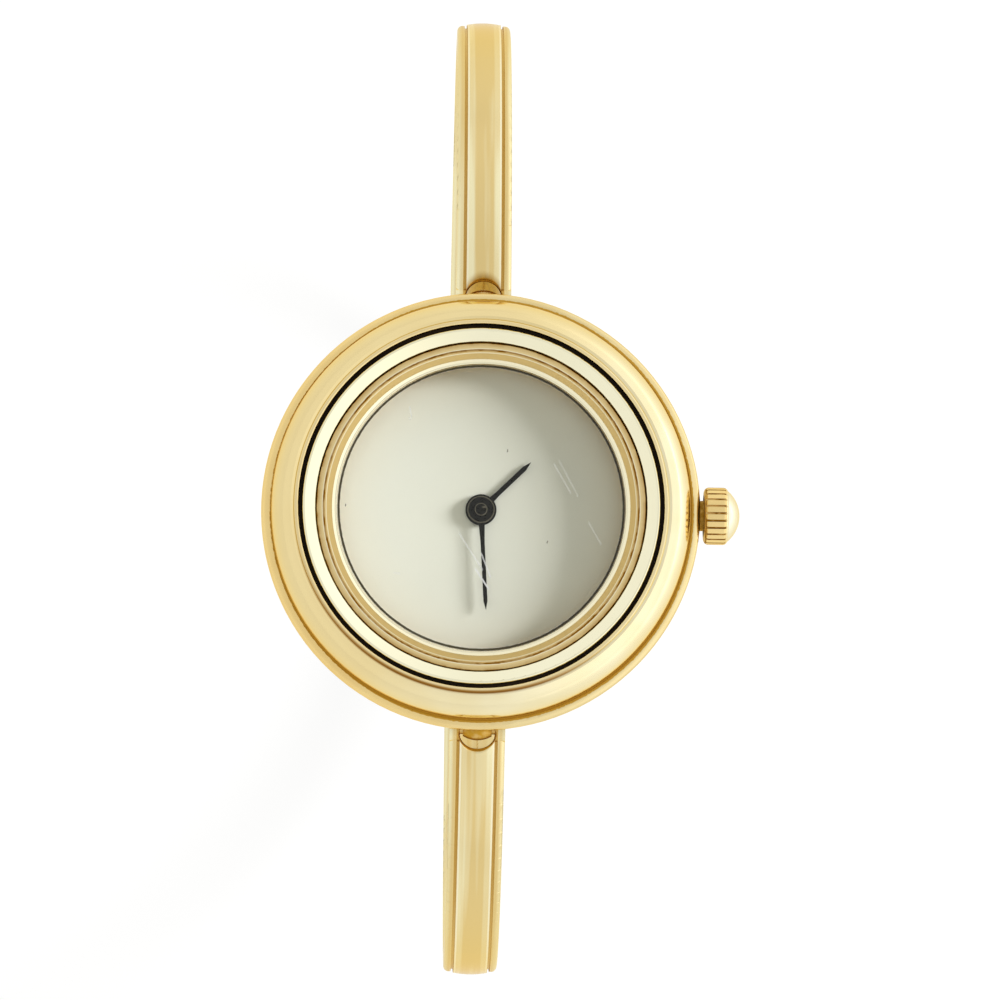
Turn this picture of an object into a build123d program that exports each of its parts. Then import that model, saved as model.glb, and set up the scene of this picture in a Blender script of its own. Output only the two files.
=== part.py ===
"""A gold-plated bangle watch, piece by piece, in millimetres.

The frame: Z = 0 is the outer face of the caseback and +Z comes out of the dial, +Y points to
12 o'clock and +X to the crown. Two rigid arms are hinged under the case at 12 and 6 and meet
behind the wrist in a hooked clasp link. The set stands as it does in the picture: the bangle
is rocked a little on its hinges, so the clasp lies towards the 12 o'clock side.
"""
import os
from math import atan2, cos, degrees, hypot, pi, radians, sin

from build123d import *

# Clearances and the overrun that every cut passes its piece by
running_fit = 0.04
slip_fit = 0.05
loose_fit = 0.10
overrun = 0.5

# Case: a flanged bowl with a neck that carries the crystal
case_radius = 13.0
rim_bottom = 2.05
rim_top = 3.40
rim_lower_round = 0.75
rim_upper_round = 0.42
rim_land = 0.50
rim_gap = 0.15
bezel_seat = 3.25
rim_overhang = 1.30
flank_foot_round = 0.30
flank_root_round = 0.25
neck_setback = 3.28
neck_top = 4.78
neck_wall = 0.55
crystal_seat = 4.20
dial_ledge = 0.47
dial_top = 3.45
cavity_setback = 0.37
snap_wall = 1.40
snap_bore_top = 1.13

# Caseback: pressed from below, with a notch for the case knife
back_inset = 0.20
back_flange = 0.28
back_floor = 0.60
back_wall_top = 0.93
back_wall = 0.75
back_edge_round = 0.18
notch_width = 2.4
notch_depth = 0.45
notch_angle = 225.0
back_gasket_wall = 0.80

# Bezel ring, the wide changeable one, and the retaining ring that holds it down
bezel_side_height = 0.40
bezel_shoulder_width = 1.13
bezel_shoulder_height = 6.20
bezel_dome_height = 0.42
bezel_valley_width = 0.16
bezel_valley_depth = 0.05
bezel_lip_setback = 0.29
bezel_lip_width = 0.20
bezel_lip_height = 6.26
bezel_lip_round = 0.09
bezel_foot_setback = 0.23
bezel_foot_top = 4.05
seal_width = 0.24
retaining_crest = 6.27
retaining_crest_round = 0.12
retaining_inner_height = 5.68
retaining_inner_round = 0.05
seal_top = 5.85
seal_fit = 0.02

# Crystal and its stepped ring
crystal_ring_inset = 0.02
crystal_ring_top = 5.48
crystal_ring_edge_round = 0.06
step_setback = 0.38
step_groove_width = 0.10
step_groove_depth = 0.12
ring_slope_foot = 5.02
lip_width = 0.12
lip_round = 0.05
crystal_slope_width = 0.80
crystal_gasket_width = 0.27
crystal_flange_top = 4.76
crystal_edge_height = 4.82
crystal_crown_height = 5.02

# Dial and hands
dial_thickness = 0.40
dial_hole_radius = 0.70
dial_foot_radius = 0.30
dial_foot_length = 0.55
dial_foot_inset = 1.00
dial_foot_angle = 100.0
hour_hand_length = 4.1
hour_hand_width = 0.28
hour_boss_radius = 0.92
hour_hand_bottom = 3.62
minute_hand_length = 5.98
minute_hand_width = 0.24
minute_boss_radius = 0.80
minute_hand_bottom = 3.80
hand_thickness = 0.10
hand_tip_length = 0.55
hand_root_width = 0.20
hand_cap_radius = 0.36
hand_cap_height = 0.12
hand_taper_share = 0.33
shown_hour_angle = 45.6
shown_minute_angle = 176.4

# Motion work under the dial, with tooth counts that turn the hands twelve to one
cannon_teeth = 12
minute_wheel_teeth = 36
minute_pinion_teeth = 10
hour_wheel_teeth = 40
wheel_distance = 1.80
wheel_thickness = 0.13
wheel_gap = 0.03
wheel_backlash_share = 0.42
tooth_height_share = 0.85
cannon_shaft_radius = 0.26
cannon_bottom = 1.55
hour_tube_radius = 0.50
minute_wheel_angle = 60.0
minute_stud_radius = 0.16
motion_floor = 2.68

# Movement: main plate, board, coil, battery
movement_ring_width = 1.70
plate_bottom = 2.20
movement_ring_bottom = 0.95
battery_share = 0.447
battery_bottom = 0.82
battery_height = 1.65
battery_cap_share = 0.82
battery_rim_share = 0.2
battery_left_share = 0.38
battery_down_share = 0.34
clamp_thickness = 0.10
clamp_width = 1.8
post_radius = 0.55
clamp_post_right_share = 0.25
clamp_post_down_share = 0.83
coil_radius = 0.68
coil_length_share = 0.84
coil_up_share = 0.665
coil_left_share = 0.105
coil_height = 1.45
core_thickness = 0.30
core_width = 0.90
core_overhang_share = 0.145
board_thickness = 0.15
board_inner_share = 0.605
board_outer_share = 0.947
board_start_angle = 139.0
board_sweep_angle = 34.0
quartz_radius = 0.45
quartz_length_share = 0.38
quartz_circle_share = 0.776
quartz_angle = 156.0
screw_head_radius = 0.42
core_screw_head = 0.10
clamp_screw_head = 0.05
screw_slot = 0.12

# Winding stem, crown and setting parts, all on the stem's axis
stem_height = 2.10
stem_radius = 0.40
stem_overlap = 3.40
crown_travel = 0.70
tube_radius = 0.90
tube_bore = 0.45
tube_reach = 1.38
crown_standoff = 0.22
crown_bore_radius = 1.25
crown_radius = 1.70
crown_end_round = 0.30
crown_flutes = 24
crown_flute_radius = 0.07
crown_flute_sink = 0.03
crown_fluted_length = 1.45
crown_cap_radius = 1.50
crown_cap_height = 0.69
stem_socket_depth = 0.45
gasket_length = 0.42
bearing_length = 2.00
bearing_width = 2.2
bearing_bottom = 1.25
lever_inset = 1.70
lever_thickness = 0.25
lever_width = 1.30
lever_top = 2.60
lever_bottom = 1.45
stem_groove_radius = 0.22
stem_groove_margin = 0.05
clutch_radius = 0.85
clutch_length = 0.50
clutch_teeth = 14
clutch_inset = 3.35

# Bangle arms: a crowned panel between two rails, bent to an oval
hinge_standoff = 1.10
hinge_height = 1.10
arm_width = 3.30
arm_thickness = 1.50
panel_width = 2.10
panel_crown_height = 0.10
panel_edge_drop = 0.06
rail_drop = 0.14
rail_round = 0.32
inside_round = 0.30
groove_width = 0.15
groove_depth = 0.30
shoulder_bend = 28.2
side_bend = 23.5
heel_bend = 28.0
leaving_angle = 24.0
shoulder_sweep_angle = 41.0
side_sweep_angle = 50.0
heel_sweep_angle = 50.5
eye_radius = 0.74
pin_radius = 0.30
pin_inset = 0.05
ball_radius = 0.95
barrel_length = 1.70
belly_radius = 0.66
ball_neck_width = 1.20
ball_neck_height = 1.00
ball_clearance = 0.10
scoop_round = 0.30
clasp_fork_width = 2.20
clasp_fork_depth = 1.80
rock_angle = 8.8

# Clasp link, hinged on the lower arm and hooked over a bar in the upper one
link_bend = 28.0
tongue_width = 2.00
link_shoulder = 1.45
link_shoulder_far = 0.98
bar_radius = 0.45
hook_roof_gap = 0.06
hook_front_gap = 0.22
hook_back_gap = 0.14
hook_lip = 0.75
hook_height = 1.12
hook_round = 0.35
hook_root = 1.30

# Radii of the turned pieces, which all follow from the case's
groove_radius = case_radius - rim_land
flank_radius = case_radius - rim_overhang
neck_radius = case_radius - neck_setback
crystal_pocket_radius = neck_radius - neck_wall
dial_window_radius = crystal_pocket_radius - dial_ledge
cavity_radius = neck_radius - cavity_setback
snap_bore_radius = flank_radius - snap_wall
back_radius = flank_radius - back_inset
bezel_outer_radius = groove_radius - rim_gap
bezel_shoulder_radius = bezel_outer_radius - bezel_shoulder_width
bezel_valley_radius = bezel_shoulder_radius - bezel_valley_width
bezel_lip_radius = bezel_valley_radius - bezel_lip_setback
bezel_foot_radius = neck_radius + bezel_foot_setback
retaining_outer_radius = bezel_lip_radius - seal_width
crystal_ring_radius = neck_radius - crystal_ring_inset
step_radius = crystal_ring_radius - step_setback
crystal_opening_radius = step_radius - crystal_slope_width
crystal_flange_radius = crystal_pocket_radius - crystal_gasket_width
dial_radius = cavity_radius - slip_fit

# The movement's places, which follow from its main plate
plate_radius = dial_radius - movement_ring_width
movement_ring_inner = plate_radius + slip_fit
dial_foot_circle = plate_radius - dial_foot_inset
battery_radius = plate_radius * battery_share
battery_x = -plate_radius * battery_left_share
battery_y = -plate_radius * battery_down_share
clamp_post_x = plate_radius * clamp_post_right_share
clamp_post_y = -plate_radius * clamp_post_down_share
coil_length = plate_radius * coil_length_share
coil_y = plate_radius * coil_up_share
coil_x = -plate_radius * coil_left_share
core_overhang = plate_radius * core_overhang_share
board_inner_radius = plate_radius * board_inner_share
board_outer_radius = plate_radius * board_outer_share
quartz_length = plate_radius * quartz_length_share
quartz_circle = plate_radius * quartz_circle_share

# Places along the stem, heights and the hinges' reach
stem_inner_end = plate_radius - stem_overlap
clutch_position = plate_radius - clutch_inset
lever_position = plate_radius - lever_inset
bearing_start = clutch_position + clutch_length + crown_travel + loose_fit
bearing_end = bearing_start + bearing_length
tube_inner_end = cavity_radius + slip_fit
tube_outer_end = case_radius + tube_reach
crown_inner_face = case_radius + crown_standoff
crown_bore_end = tube_outer_end + loose_fit
ring_base = bezel_foot_top + slip_fit / 2
plate_top = dial_top - dial_thickness
hinge_reach = flank_radius + hinge_standoff


def outline(corners):
    """A closed outline from (across, up, rounding) corners, each rounded by its own radius."""
    face = make_face(Polyline([(across, up) for across, up, rounding in corners], close=True))
    for across, up, rounding in corners:
        if rounding:
            corner = face.vertices().sort_by_distance((across, up, 0))[0]
            face = fillet(corner, rounding)
    return face


def turned(corners):
    """A ring or disc turned about the watch's axis from (radius, height, rounding) corners."""
    return revolve(Plane.XZ * outline(corners), axis=Axis.Z)


def dome_points(radius, foot, rise):
    """Three points on the arc of a dome: its edge, half way in, and its crest on the axis."""
    bend = (radius ** 2 + rise ** 2) / (2 * rise)
    drop = bend - (bend ** 2 - radius ** 2 / 4) ** 0.5
    return (radius, foot), (radius / 2, foot + rise - drop), (0, foot + rise)


def tube(outer, inner, bottom, top):
    """A plain ring about the watch's axis."""
    return turned([(inner, bottom, 0), (outer, bottom, 0), (outer, top, 0), (inner, top, 0)])


def disc(radius, bottom, top, x=0, y=0):
    """An upright cylinder between two heights."""
    return Pos(x, y, (bottom + top) / 2) * Cylinder(radius, top - bottom)


def lying(radius, start, end):
    """A cylinder along the stem's axis, from one X to another."""
    return Pos((start + end) / 2, 0, stem_height) * Rot(0, 90, 0) * Cylinder(radius, end - start)


def slab(x_range, y_range, z_range):
    """A rectangular block between three pairs of limits."""
    sides = [high - low for low, high in (x_range, y_range, z_range)]
    middle = [(high + low) / 2 for low, high in (x_range, y_range, z_range)]
    return Pos(*middle) * Box(*sides)


def cross_pin(radius, length, reach, height):
    """A cylinder across the arm at (reach, height)."""
    return Pos(0, reach, height) * Rot(0, 90, 0) * Cylinder(radius, length)


def wheel_tip(teeth, pitch_radius):
    """The radius at the tips of a wheel's teeth."""
    return pitch_radius + 2 * pitch_radius / teeth * tooth_height_share


def toothed(teeth, pitch_radius, bottom, top, bore):
    """A wheel with straight-sided teeth and a bore."""
    tip = wheel_tip(teeth, pitch_radius)
    root = 2 * pitch_radius - tip
    half_pitch = pi / teeth
    points = []
    for tooth in range(teeth):
        middle = 2 * half_pitch * tooth
        flank = half_pitch * wheel_backlash_share
        for radius, side in ((root, -2 * flank), (tip, -flank), (tip, flank), (root, 2 * flank)):
            points.append((radius * cos(middle + side), radius * sin(middle + side)))
    blank = Pos(0, 0, bottom) * extrude(make_face(Polyline(points, close=True)), top - bottom)
    return blank - disc(bore, bottom - overrun, top + overrun)


# Case and back

def hinge_knuckle(side):
    """The barrel that an arm turns on, bored for its pin, with the neck that joins it to the flank."""
    bore = pin_radius + running_fit
    half = barrel_length / 2
    end_radius = (ball_radius ** 2 - half ** 2) ** 0.5
    flat = Polyline([(half, end_radius), (half, bore), (-half, bore), (-half, end_radius)])
    belly = ThreePointArc((-half, end_radius), (0, belly_radius), (half, end_radius))
    barrel = Pos(0, side * hinge_reach, hinge_height) * revolve(make_face(flat + belly), axis=Axis.X)
    half_neck = ball_neck_width / 2
    reach = sorted((side * (flank_radius - overrun), side * hinge_reach))
    floor = hinge_height - ball_neck_height / 2
    neck = slab((-half_neck, half_neck), reach, (floor, floor + ball_neck_height))
    return barrel + (neck - cross_pin(bore, arm_width, side * hinge_reach, hinge_height))


def case_body():
    """The case: foot, flank, rim, seat for the bezel ring, neck and movement cavity."""
    body = turned([
        (snap_bore_radius, back_flange, 0),
        (flank_radius, back_flange, flank_foot_round),
        (flank_radius, rim_bottom, flank_root_round),
        (case_radius, rim_bottom, rim_lower_round),
        (case_radius, rim_top, rim_upper_round),
        (groove_radius, rim_top, 0),
        (groove_radius, bezel_seat, 0),
        (neck_radius, bezel_seat, 0),
        (neck_radius, neck_top, 0),
        (crystal_pocket_radius, neck_top, 0),
        (crystal_pocket_radius, crystal_seat, 0),
        (dial_window_radius, crystal_seat, 0),
        (dial_window_radius, dial_top, 0),
        (cavity_radius, dial_top, 0),
        (cavity_radius, snap_bore_top, 0),
        (snap_bore_radius, snap_bore_top, 0),
    ])
    for side in (1, -1):
        body = body + hinge_knuckle(side)
    return body - lying(tube_radius, cavity_radius - overrun, case_radius + overrun)


def caseback():
    """The snap back: a shallow cup with a flange that closes the foot of the case."""
    wall_outer = snap_bore_radius - slip_fit / 2
    cup = turned([
        (0, 0, 0),
        (back_radius, 0, back_edge_round),
        (back_radius, back_flange, 0),
        (wall_outer, back_flange, 0),
        (wall_outer, back_wall_top, 0),
        (wall_outer - back_wall, back_wall_top, 0),
        (wall_outer - back_wall, back_floor, 0),
        (0, back_floor, 0),
    ])
    half = notch_width / 2
    notch = slab((back_radius - notch_depth, back_radius + overrun), (-half, half),
                 (back_flange / 2, back_flange))
    return cup - Rot(0, 0, notch_angle) * notch


def caseback_gasket():
    outer = snap_bore_radius - slip_fit
    return tube(outer, outer - back_gasket_wall, back_wall_top, snap_bore_top)


# Rings over the case

def bezel_ring():
    """The wide domed ring: a steep side, a rounded shoulder, a valley and a rolled inner lip."""
    side_top = bezel_seat + bezel_side_height
    lip_outer = bezel_lip_radius + bezel_lip_width
    base = [
        (bezel_lip_radius, bezel_foot_top),
        (bezel_foot_radius, bezel_foot_top),
        (bezel_foot_radius, bezel_seat),
        (bezel_outer_radius, bezel_seat),
        (bezel_outer_radius, side_top),
    ]
    chord = (bezel_outer_radius - bezel_shoulder_radius, bezel_shoulder_height - side_top)
    length = hypot(*chord)
    middle = (bezel_outer_radius - chord[0] / 2, side_top + chord[1] / 2)
    crest = (middle[0] + bezel_dome_height * chord[1] / length,
             middle[1] + bezel_dome_height * chord[0] / length)
    shoulder = (bezel_shoulder_radius, bezel_shoulder_height)
    inner = [
        shoulder,
        (bezel_valley_radius, bezel_shoulder_height - bezel_valley_depth),
        (lip_outer, bezel_lip_height),
        (bezel_lip_radius, bezel_lip_height),
        (bezel_lip_radius, bezel_foot_top),
    ]
    dome = ThreePointArc(base[-1], crest, shoulder)
    face = make_face(Polyline(base) + dome + Polyline(inner))
    for radius in (lip_outer, bezel_lip_radius):
        corner = face.vertices().sort_by_distance((radius, bezel_lip_height, 0))[0]
        face = fillet(corner, bezel_lip_round)
    return revolve(Plane.XZ * face, axis=Axis.Z)


def retaining_ring():
    """The polished inner ring that screws down over the neck and clamps the bezel ring."""
    bore = neck_radius + slip_fit
    return turned([
        (bore, ring_base, 0),
        (retaining_outer_radius, ring_base, 0),
        (retaining_outer_radius, retaining_crest, retaining_crest_round),
        (bore, retaining_inner_height, retaining_inner_round),
    ])


def bezel_seal():
    """The black ring between the two, set below their edges."""
    return tube(bezel_lip_radius - seal_fit, retaining_outer_radius, ring_base, seal_top)


def crystal_ring():
    """The stepped ring that holds the crystal in the neck, with a fine lip round the opening."""
    groove_inner = step_radius - step_groove_width
    groove_floor = crystal_ring_top - step_groove_depth
    lip_outer = crystal_opening_radius + lip_width
    return turned([
        (crystal_opening_radius, neck_top, 0),
        (crystal_ring_radius, neck_top, 0),
        (crystal_ring_radius, crystal_ring_top, crystal_ring_edge_round),
        (step_radius, crystal_ring_top, 0),
        (step_radius, groove_floor, 0),
        (groove_inner, groove_floor, 0),
        (groove_inner, crystal_ring_top, 0),
        (lip_outer, ring_slope_foot, 0),
        (crystal_opening_radius, ring_slope_foot, lip_round),
    ])


def crystal():
    """The glass: a flange under the ring and a gently domed face inside it."""
    face_radius = crystal_opening_radius - loose_fit / 2
    wall = Polyline([
        (0, crystal_crown_height),
        (0, crystal_seat),
        (crystal_flange_radius, crystal_seat),
        (crystal_flange_radius, crystal_flange_top),
        (face_radius, crystal_flange_top),
        (face_radius, crystal_edge_height),
    ])
    rise = crystal_crown_height - crystal_edge_height
    dome = ThreePointArc(*dome_points(face_radius, crystal_edge_height, rise))
    return revolve(Plane.XZ * make_face(wall + dome), axis=Axis.Z)


def crystal_gasket():
    outer = crystal_pocket_radius - running_fit / 2
    inner = crystal_flange_radius + running_fit / 2
    return tube(outer, inner, crystal_seat, crystal_flange_top)


# Dial and hands

def at_dial_feet(piece):
    """Two copies of a piece, one at each dial foot."""
    return [Rot(0, 0, dial_foot_angle + turn) * Pos(dial_foot_circle, 0, 0) * piece for turn in (0, 180)]


def dial():
    """The plain dial disc with its centre hole and two feet that locate it in the main plate."""
    plate = disc(dial_radius, plate_top, dial_top) - disc(dial_hole_radius, 0, neck_top)
    for foot in at_dial_feet(disc(dial_foot_radius, plate_top - dial_foot_length, plate_top)):
        plate = plate + foot
    return plate


def hand(length, width, boss_radius, bottom, bore_radius, angle):
    """A slim stick hand with a pointed tip, a short tail-less boss and a bore, clock angle set."""
    half = width / 2
    root = (width + hand_root_width) / 2
    taper_end = length * hand_taper_share
    blade = make_face(Polyline([
        (-root, 0),
        (root, 0),
        (half, taper_end),
        (half, length - hand_tip_length),
        (0, length),
        (-half, length - hand_tip_length),
        (-half, taper_end),
    ], close=True))
    flat = extrude(blade, hand_thickness) + disc(boss_radius, 0, hand_thickness)
    flat = flat - disc(bore_radius, -overrun, overrun)
    return Rot(0, 0, -angle) * Pos(0, 0, bottom) * flat


def hour_hand():
    return hand(hour_hand_length, hour_hand_width, hour_boss_radius, hour_hand_bottom,
                hour_tube_radius, shown_hour_angle)


def minute_hand():
    """The minute hand with the closed cap that covers the end of the cannon pinion."""
    stick = hand(minute_hand_length, minute_hand_width, minute_boss_radius, minute_hand_bottom,
                 cannon_shaft_radius, shown_minute_angle)
    top = minute_hand_bottom + hand_thickness
    return stick + disc(hand_cap_radius, top, top + hand_cap_height)


# Motion work

lower_wheel = (motion_floor + wheel_gap, motion_floor + wheel_gap + wheel_thickness)
upper_wheel = (lower_wheel[1] + wheel_gap, lower_wheel[1] + wheel_gap + wheel_thickness)
minute_wheel_spot = (wheel_distance * cos(radians(minute_wheel_angle)),
                     wheel_distance * sin(radians(minute_wheel_angle)))
lower_pitch = wheel_distance / (cannon_teeth + minute_wheel_teeth)
upper_pitch = wheel_distance / (minute_pinion_teeth + hour_wheel_teeth)


def cannon_pinion():
    """The centre shaft that carries the minute hand, with its pinion under the hour wheel."""
    pinion = toothed(cannon_teeth, cannon_teeth * lower_pitch, *lower_wheel, cannon_shaft_radius)
    return pinion + disc(cannon_shaft_radius, cannon_bottom, minute_hand_bottom + hand_thickness)


def hour_wheel():
    """The wheel whose tube carries the hour hand, turning freely on the cannon pinion."""
    bore = cannon_shaft_radius + running_fit
    wheel = toothed(hour_wheel_teeth, hour_wheel_teeth * upper_pitch, *upper_wheel, bore)
    sleeve = tube(hour_tube_radius, bore, upper_wheel[0], hour_hand_bottom + hand_thickness)
    return wheel + sleeve


def minute_wheel():
    """The wheel and pinion between the cannon pinion and the hour wheel, on a stud."""
    bore = minute_stud_radius + running_fit
    half_tooth = 180 / minute_wheel_teeth
    wheel = toothed(minute_wheel_teeth, minute_wheel_teeth * lower_pitch, *lower_wheel, bore)
    pinion = toothed(minute_pinion_teeth, minute_pinion_teeth * upper_pitch, *upper_wheel, bore)
    neck = tube(bore + running_fit, bore, lower_wheel[1], upper_wheel[0])
    return Pos(*minute_wheel_spot, 0) * (Rot(0, 0, half_tooth) * wheel + neck + pinion)


# Movement

def stem_bearing():
    """The block under the main plate that carries the stem and guides the setting lever."""
    half = bearing_width / 2
    block = slab((bearing_start, bearing_end), (-half, half), (bearing_bottom, plate_bottom))
    slot_half = lever_width / 2 + slip_fit
    slot = slab((lever_position - slip_fit, lever_position + lever_thickness + crown_travel + slip_fit),
                (-slot_half, slot_half), (lever_bottom - slip_fit, lever_top + slip_fit))
    return block, slot


def main_plate():
    """The base plate: recess for the motion work, pockets for battery and stem, and posts."""
    plate = disc(plate_radius, plate_bottom, plate_top)
    block, slot = stem_bearing()
    plate = plate + block + disc(post_radius, battery_bottom, plate_bottom, clamp_post_x, clamp_post_y)
    for end in (-1, 1):
        spot = coil_x + end * (coil_length / 2 + core_overhang / 2)
        plate = plate + disc(post_radius, coil_height + core_thickness / 2, plate_bottom, spot, coil_y)
    wheel_room = wheel_tip(hour_wheel_teeth, hour_wheel_teeth * upper_pitch) + loose_fit
    minute_room = wheel_tip(minute_wheel_teeth, minute_wheel_teeth * lower_pitch) + loose_fit
    plate = plate - disc(wheel_room, motion_floor, plate_top + overrun)
    plate = plate - disc(minute_room, motion_floor, plate_top + overrun, *minute_wheel_spot)
    plate = plate + disc(minute_stud_radius, motion_floor, upper_wheel[1], *minute_wheel_spot)
    battery_top = battery_bottom + battery_height
    battery_room = battery_radius + slip_fit
    plate = plate - disc(battery_room, plate_bottom - overrun, battery_top, battery_x, battery_y)
    plate = plate - disc(cannon_shaft_radius + running_fit, plate_bottom - overrun, plate_top)
    plate = plate - slot - lying(stem_radius + running_fit, bearing_start - overrun, plate_radius + overrun)
    clutch_room = clutch_radius + loose_fit
    plate = plate - lying(clutch_room, stem_inner_end - loose_fit, bearing_start)
    for hole in at_dial_feet(disc(dial_foot_radius + running_fit, plate_bottom - overrun, plate_top)):
        plate = plate - hole
    return plate


def movement_ring():
    """The plastic ring that centres the movement in the case, with a slot for the stem."""
    ring = tube(dial_radius, movement_ring_inner, movement_ring_bottom, plate_top)
    return ring - lying(stem_radius + loose_fit, movement_ring_inner - overrun, dial_radius + overrun)


def battery():
    """The button cell with its narrower top cap."""
    top = battery_bottom + battery_height
    shoulder = top - battery_height * battery_rim_share
    can = disc(battery_radius, battery_bottom, shoulder, battery_x, battery_y)
    cap = disc(battery_radius * battery_cap_share, shoulder, top, battery_x, battery_y)
    return can + cap


def battery_clamp():
    """The spring strip that holds the cell down, from its post to the middle of the cell."""
    top = battery_bottom
    span = hypot(clamp_post_x - battery_x, clamp_post_y - battery_y)
    turn = degrees(atan2(battery_y - clamp_post_y, battery_x - clamp_post_x))
    half = clamp_width / 2
    strip = slab((0, span), (-half, half), (top - clamp_thickness, top))
    strip = strip + disc(half, top - clamp_thickness, top) + disc(half, top - clamp_thickness, top, span, 0)
    return Pos(clamp_post_x, clamp_post_y, 0) * Rot(0, 0, turn) * strip


def coil_core():
    """The flat iron core that the coil is wound on, resting on two posts."""
    half_length = coil_length / 2 + core_overhang
    half_width = core_width / 2
    half_height = core_thickness / 2
    return slab((coil_x - half_length, coil_x + half_length), (coil_y - half_width, coil_y + half_width),
                (coil_height - half_height, coil_height + half_height))


def coil():
    """The winding round the core."""
    winding = Pos(coil_x, coil_y, coil_height) * Rot(0, 90, 0) * Cylinder(coil_radius, coil_length)
    return winding - coil_core()


def circuit_board():
    """The thin board that follows the edge of the plate beside the cell."""
    bottom = plate_bottom - board_thickness
    section = outline([
        (board_inner_radius, bottom, 0),
        (board_outer_radius, bottom, 0),
        (board_outer_radius, plate_bottom, 0),
        (board_inner_radius, plate_bottom, 0),
    ])
    board = revolve(Plane.XZ * section, axis=Axis.Z, revolution_arc=board_sweep_angle)
    return Rot(0, 0, board_start_angle) * board


def quartz_crystal():
    """The oscillator's little can, lying on the board along its edge."""
    height = plate_bottom - board_thickness - quartz_radius
    can = Rot(90, 0, 0) * Cylinder(quartz_radius, quartz_length)
    return Rot(0, 0, quartz_angle) * Pos(quartz_circle, 0, height) * can


def movement_screws():
    """The three slotted screws: one on the battery strip and one at each end of the coil core."""
    clamp_face = battery_bottom - clamp_thickness
    core_face = coil_height - core_thickness / 2
    spots = [(clamp_post_x, clamp_post_y, clamp_face, clamp_screw_head)]
    for end in (-1, 1):
        x = coil_x + end * (coil_length / 2 + core_overhang / 2)
        spots.append((x, coil_y, core_face, core_screw_head))
    screws = []
    for x, y, face, head in spots:
        across = (-screw_slot / 2, screw_slot / 2)
        slot = slab((-screw_head_radius, screw_head_radius), across, (-head - overrun, -head / 2))
        screws.append(Pos(x, y, face) * (disc(screw_head_radius, -head, 0) - slot))
    return Part() + screws


# Crown and stem

def crown_tube():
    """The tube fixed in the case that the stem passes and the crown slides on."""
    bore = lying(tube_bore, tube_inner_end - overrun, tube_outer_end + overrun)
    return lying(tube_radius, tube_inner_end, tube_outer_end) - bore


def stem():
    """The stem: screwed into the crown, waisted where the setting lever holds it."""
    groove_start = lever_position - stem_groove_margin
    groove_end = lever_position + lever_thickness + stem_groove_margin
    socket_end = crown_bore_end + stem_socket_depth
    rod = lying(stem_radius, stem_inner_end, groove_start) + lying(stem_radius, groove_end, socket_end)
    return rod + lying(stem_groove_radius, groove_start, groove_end)


def crown():
    """The fluted crown: a barrel with rounded ends and cut flutes, a domed cap, a bore for the tube."""
    barrel = outline([
        (0, 0, 0),
        (crown_radius, 0, crown_end_round),
        (crown_radius, crown_fluted_length, crown_end_round),
        (0, crown_fluted_length, 0),
    ])
    spread = crown_radius - crown_flute_sink
    flute = disc(crown_flute_radius, -overrun, crown_fluted_length + overrun, spread)
    grip = revolve(Plane.XZ * barrel, axis=Axis.Z)
    grip = grip - [Rot(0, 0, step * 360 / crown_flutes) * flute for step in range(crown_flutes)]
    foot = crown_fluted_length - crown_end_round
    bow = ThreePointArc(*dome_points(crown_cap_radius, crown_fluted_length, crown_cap_height))
    sides = Polyline([
        (0, crown_fluted_length + crown_cap_height),
        (0, foot),
        (crown_cap_radius, foot),
        (crown_cap_radius, crown_fluted_length),
    ])
    body = grip + revolve(Plane.XZ * make_face(sides + bow), axis=Axis.Z)
    body = Pos(crown_inner_face, 0, stem_height) * Rot(0, 90, 0) * body
    body = body - lying(crown_bore_radius, crown_inner_face - overrun, crown_bore_end)
    return body - lying(stem_radius, crown_bore_end - overrun, crown_bore_end + stem_socket_depth)


def crown_gasket():
    """The ring in the crown's bore that slides on the tube."""
    start = crown_inner_face
    ring = lying(crown_bore_radius, start, start + gasket_length)
    return ring - lying(tube_radius + running_fit, start - overrun, start + gasket_length + overrun)


def setting_lever():
    """The plate whose fork sits in the stem's groove and travels with it when it is pulled."""
    half = lever_width / 2
    near = lever_position
    far = lever_position + lever_thickness
    fork = stem_groove_radius + running_fit
    gap = slab((near - overrun, far + overrun), (-fork, fork), (lever_bottom - overrun, stem_height))
    bore = lying(fork, near - overrun, far + overrun)
    return slab((near, far), (-half, half), (lever_bottom, lever_top)) - gap - bore


def clutch_wheel():
    """The toothed wheel on the stem's inner end."""
    wheel = toothed(clutch_teeth, clutch_radius * (1 - 1 / clutch_teeth), 0, clutch_length, stem_radius)
    return Pos(clutch_position, 0, stem_height) * Rot(0, 90, 0) * wheel


# Bangle arms and clasp

def arm_section():
    """The arm's cross section: width along X, outer face up."""
    half = arm_width / 2
    top = arm_thickness / 2
    rail_top = top - rail_drop
    rails = outline([
        (-half, -top, inside_round),
        (half, -top, inside_round),
        (half, rail_top, rail_round),
        (-half, rail_top, rail_round),
    ])
    panel_half = panel_width / 2
    edge_top = top - panel_edge_drop
    floor = top - groove_depth
    sides = Polyline([
        (panel_half, edge_top),
        (panel_half, floor),
        (-panel_half, floor),
        (-panel_half, edge_top),
    ])
    crest = (0, edge_top + panel_crown_height)
    crown_arc = ThreePointArc((-panel_half, edge_top), crest, (panel_half, edge_top))
    cut = panel_half + groove_width
    groove = Rectangle(2 * cut, groove_depth, align=(Align.CENTER, Align.MAX))
    return rails - Pos(0, top) * groove + make_face(sides + crown_arc)


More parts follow.
